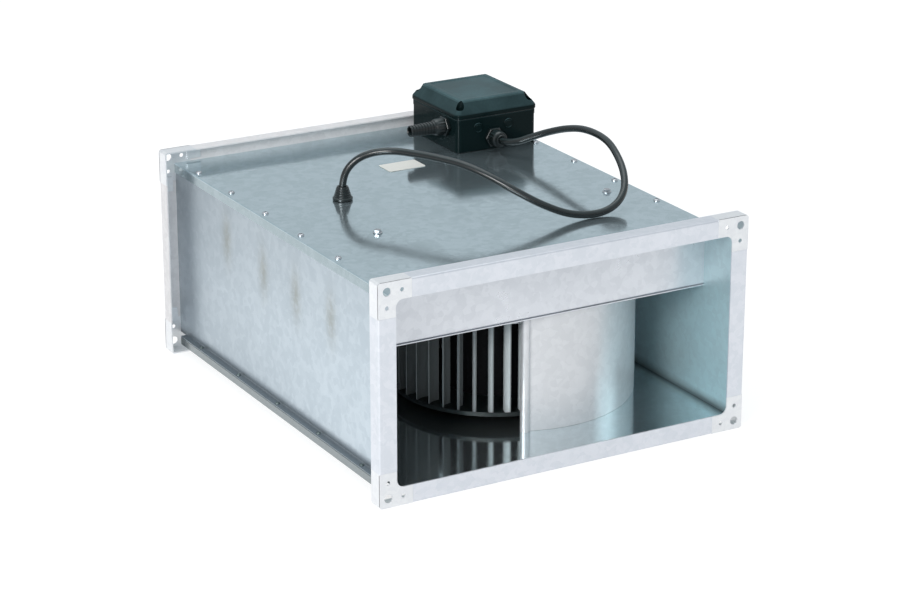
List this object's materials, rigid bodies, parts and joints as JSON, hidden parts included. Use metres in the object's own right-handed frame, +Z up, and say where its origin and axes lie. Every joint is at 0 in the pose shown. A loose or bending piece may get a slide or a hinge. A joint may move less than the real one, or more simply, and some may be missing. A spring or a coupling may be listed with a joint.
{
  "type": "in-line duct fan",
  "caption": "Rectangular in-line duct fan: a galvanised box between two bolted flanges, with a forward-curved wheel in a scroll, an external-rotor motor and a terminal box on top",
  "frame": {"origin": "under the middle of the casing, in the plane of the flanges' lower edges", "axes": "+Z up, +Y from the outlet to the inlet along the duct, +X to the right as seen from the outlet"},
  "size_m": [0.44, 0.52, 0.2821],
  "materials": {
    "galvanised_sheet": "hot-dip galvanised, faint spangle",
    "flange_zinc": "bright galvanised",
    "wheel_zinc": "galvanised",
    "screw_steel": "zinc plated",
    "motor_paint": "black paint",
    "machined_steel": "machined",
    "coil_copper": "enamelled copper wire",
    "box_plastic": "moulded, satin",
    "gland_plastic": "moulded",
    "black_rubber": "smooth",
    "plate_white": "bare label stock",
    "block_plastic": "moulded",
    "terminal_brass": "plain",
    "capacitor_can": "drawn can"
  },
  "bodies": {
    "casing": {"top_cover": "galvanised_sheet", "left_side_panel": "galvanised_sheet", "right_side_panel": "galvanised_sheet", "bottom_pan": "galvanised_sheet", "outlet_rail_top": "flange_zinc", "outlet_rail_bottom": "flange_zinc", "outlet_rail_left": "flange_zinc", "outlet_rail_right": "flange_zinc", "inlet_rail_top": "flange_zinc", "inlet_rail_bottom": "flange_zinc", "inlet_rail_left": "flange_zinc", "inlet_rail_right": "flange_zinc", "outlet_corners": "flange_zinc", "inlet_corners": "flange_zinc", "closing_panel": "galvanised_sheet", "scroll_roof": "galvanised_sheet", "scroll_wall": "galvanised_sheet", "cutoff_nose": "galvanised_sheet", "side_baffle": "galvanised_sheet", "inlet_ring": "galvanised_sheet", "inlet_ring_screws": "screw_steel", "lower_bearing": "machined_steel", "upper_bearing": "machined_steel", "stator_core": "machined_steel", "stator_windings": "coil_copper", "stator_flange": "motor_paint", "motor_support": "galvanised_sheet", "motor_flange_screws": "screw_steel", "support_screws": "screw_steel", "cover_screws": "screw_steel", "lip_rivets": "screw_steel", "rating_plate": "plate_white", "terminal_box_base": "box_plastic", "lid_gasket": "black_rubber", "knockout_plugs": "box_plastic", "terminal_block": "block_plastic", "terminal_screws": "terminal_brass", "run_capacitor": "capacitor_can", "capacitor_clip": "machined_steel", "earth_stud": "terminal_brass", "box_screws": "screw_steel", "motor_gland": "gland_plastic", "mains_gland": "gland_plastic", "gland_locknuts": "gland_plastic", "cable_grommet": "black_rubber", "motor_cable": "black_rubber"},
    "impeller": {"impeller_back_plate": "wheel_zinc", "impeller_blades": "wheel_zinc", "impeller_top_ring": "wheel_zinc", "impeller_screws": "screw_steel", "rotor_can": "motor_paint", "rotor_cage": "machined_steel", "motor_shaft": "machined_steel", "shaft_circlip": "machined_steel"},
    "box_lid": {"terminal_box_lid": "box_plastic", "lid_screws": "screw_steel"}
  },
  "joints": [
    {"name": "impeller_spin", "type": "hinge", "parent": "casing", "child": "impeller", "pos_m": [0.022, -0.073, 0.08], "axis": [0, 0, 1], "continuous": true},
    {"name": "lid_lift", "type": "slide", "parent": "casing", "child": "box_lid", "axis": [0, 0, 1], "range_m": [0, 0.06]}
  ]
}
